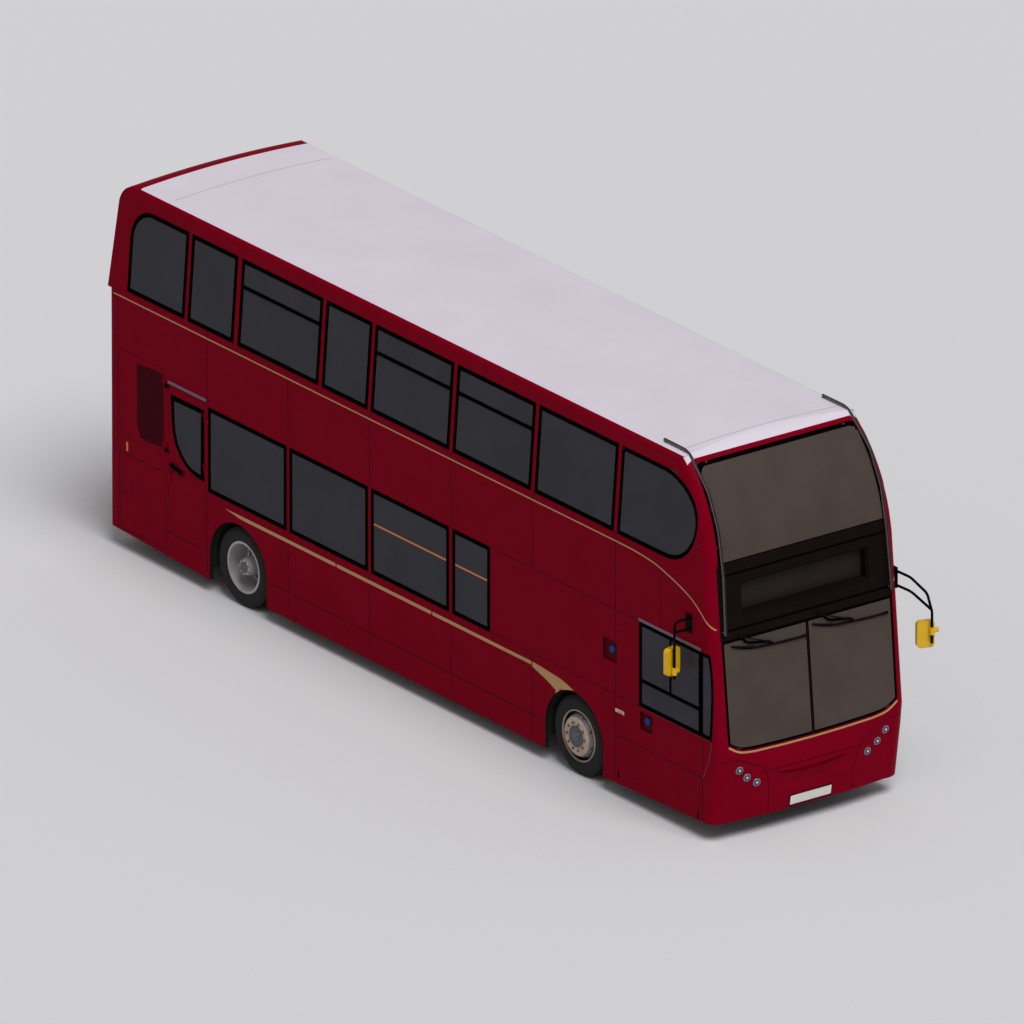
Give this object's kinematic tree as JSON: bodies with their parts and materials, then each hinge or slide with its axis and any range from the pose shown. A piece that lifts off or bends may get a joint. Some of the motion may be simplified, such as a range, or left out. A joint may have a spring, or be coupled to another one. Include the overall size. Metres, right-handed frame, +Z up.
{
  "type": "double-decker bus",
  "caption": "Two-deck public service bus with entrance doors, rear emergency door, engine covers, stairs, seats, mirrors and steered front wheels.",
  "frame": {"origin": "on the road under the middle of the whole vehicle, mirrors included", "axes": "+X forward, +Y to the left (entrance side), +Z up"},
  "size_m": [11.355, 3.12, 4.3509],
  "materials": {
    "side_paint": "gloss",
    "front_paint": "gloss",
    "roof_paint": "gloss",
    "black_panel": "gloss",
    "glazing": "tinted",
    "chassis_steel": "matt black",
    "engine_iron": "rough",
    "floor_board": "matt",
    "inner_lining": "matt",
    "black_plastic": "matt",
    "seat_fabric": "woven",
    "tyre_rubber": "matt",
    "wheel_paint": "satin",
    "door_frame_grey": "satin",
    "tube_black": "satin",
    "mirror_yellow": "gloss",
    "lamp_clear": "clear",
    "rail_orange": "gloss",
    "cap_blue": "gloss"
  },
  "bodies": {
    "bus_body": {"cab_enclosure": "inner_lining", "chassis_frame": "chassis_steel", "dashboard": "black_plastic", "destination_display": "black_panel", "engine_block": "engine_iron", "engine_bulkhead": "inner_lining", "filler_caps": "cap_blue", "front_axle_beam": "chassis_steel", "front_band": "black_panel", "front_dome": "front_paint", "front_guards": "tube_black", "front_panel": "front_paint", "handrails": "rail_orange", "hinges": "chassis_steel", "lamps": "lamp_clear", "lower_floor": "floor_board", "mirror_arms": "tube_black", "mirror_heads": "mirror_yellow", "rear_axle": "chassis_steel", "rear_panel": "side_paint", "rear_window": "glazing", "roof_panel": "roof_paint", "seats_lower_left": "seat_fabric", "seats_lower_right": "seat_fabric", "seats_upper_left": "seat_fabric", "seats_upper_right": "seat_fabric", "side_lower_left": "side_paint", "side_lower_right": "side_paint", "side_upper_left": "side_paint", "side_upper_right": "side_paint", "side_windows_left": "glazing", "side_windows_right": "glazing", "staircase": "floor_board", "steering_wheel": "black_plastic", "upper_floor": "floor_board", "wheel_boxes": "black_plastic", "windscreens": "glazing", "wipers": "tube_black"},
    "knuckle_left": {"knuckle_left": "chassis_steel"},
    "knuckle_right": {"knuckle_right": "chassis_steel"},
    "front_left_wheel": {"wheel_front_left": "wheel_paint", "tyre_front_left": "tyre_rubber"},
    "front_right_wheel": {"wheel_front_right": "wheel_paint", "tyre_front_right": "tyre_rubber"},
    "rear_left_wheel": {"wheel_rear_left": "wheel_paint", "tyre_rear_left": "tyre_rubber"},
    "rear_right_wheel": {"wheel_rear_right": "wheel_paint", "tyre_rear_right": "tyre_rubber"},
    "front_arm": {"door_arm_front": "door_frame_grey"},
    "rear_arm": {"door_arm_rear": "door_frame_grey"},
    "front_leaf": {"door_leaf_front": "door_frame_grey", "door_glass_front": "glazing"},
    "rear_leaf": {"door_leaf_rear": "door_frame_grey", "door_glass_rear": "glazing"},
    "emergency_door": {"emergency_door": "side_paint", "emergency_glass": "glazing"},
    "grille_door": {"grille_door": "side_paint"},
    "engine_cover": {"engine_cover": "side_paint"}
  },
  "joints": [
    {"name": "steer_left", "type": "hinge", "parent": "bus_body", "child": "knuckle_left", "pos_m": [2.85, 1, 0.46], "axis": [0, 0, 1], "range_deg": [-40, 40]},
    {"name": "steer_right", "type": "hinge", "parent": "bus_body", "child": "knuckle_right", "pos_m": [2.85, -1, 0.46], "axis": [0, 0, 1], "range_deg": [-40, 40]},
    {"name": "front_left_spin", "type": "hinge", "parent": "knuckle_left", "child": "front_left_wheel", "pos_m": [2.85, 1.088, 0.46], "axis": [0, 1, 0], "continuous": true},
    {"name": "front_right_spin", "type": "hinge", "parent": "knuckle_right", "child": "front_right_wheel", "pos_m": [2.85, -1.088, 0.46], "axis": [0, 1, 0], "continuous": true},
    {"name": "rear_left_spin", "type": "hinge", "parent": "bus_body", "child": "rear_left_wheel", "pos_m": [-3.285, 0.93, 0.46], "axis": [0, 1, 0], "continuous": true},
    {"name": "rear_right_spin", "type": "hinge", "parent": "bus_body", "child": "rear_right_wheel", "pos_m": [-3.285, -0.93, 0.46], "axis": [0, 1, 0], "continuous": true},
    {"name": "door_front_arm", "type": "hinge", "parent": "bus_body", "child": "front_arm", "pos_m": [5.153, 1.249, 1.3], "axis": [0, 0, 1], "range_deg": [0, 85]},
    {"name": "door_front_leaf", "type": "hinge", "parent": "front_arm", "child": "front_leaf", "pos_m": [4.864, 1.249, 1.3], "axis": [0, 0, 1], "range_deg": [-170, 0]},
    {"name": "door_rear_arm", "type": "hinge", "parent": "bus_body", "child": "rear_arm", "pos_m": [3.997, 1.249, 1.3], "axis": [0, 0, 1], "range_deg": [-85, 0]},
    {"name": "door_rear_leaf", "type": "hinge", "parent": "rear_arm", "child": "rear_leaf", "pos_m": [4.286, 1.249, 1.3], "axis": [0, 0, 1], "range_deg": [0, 170]},
    {"name": "emergency_hinge", "type": "hinge", "parent": "bus_body", "child": "emergency_door", "pos_m": [-3.89, -1.283, 1.45], "axis": [0, 0, 1], "range_deg": [0, 100]},
    {"name": "grille_hinge", "type": "hinge", "parent": "bus_body", "child": "grille_door", "pos_m": [-4.621, -1.283, 1.87], "axis": [0, 0, 1], "range_deg": [0, 90]},
    {"name": "cover_hinge", "type": "hinge", "parent": "bus_body", "child": "engine_cover", "pos_m": [-5.677, 0, 1.411], "axis": [0, 1, 0], "range_deg": [0, 85]}
  ],
  "couplings": [
    {"joint": "steer_right", "follows": "steer_left", "ratio": 1},
    {"joint": "door_front_leaf", "follows": "door_front_arm", "ratio": -2},
    {"joint": "door_rear_arm", "follows": "door_front_arm", "ratio": -1},
    {"joint": "door_rear_leaf", "follows": "door_front_arm", "ratio": 2}
  ]
}
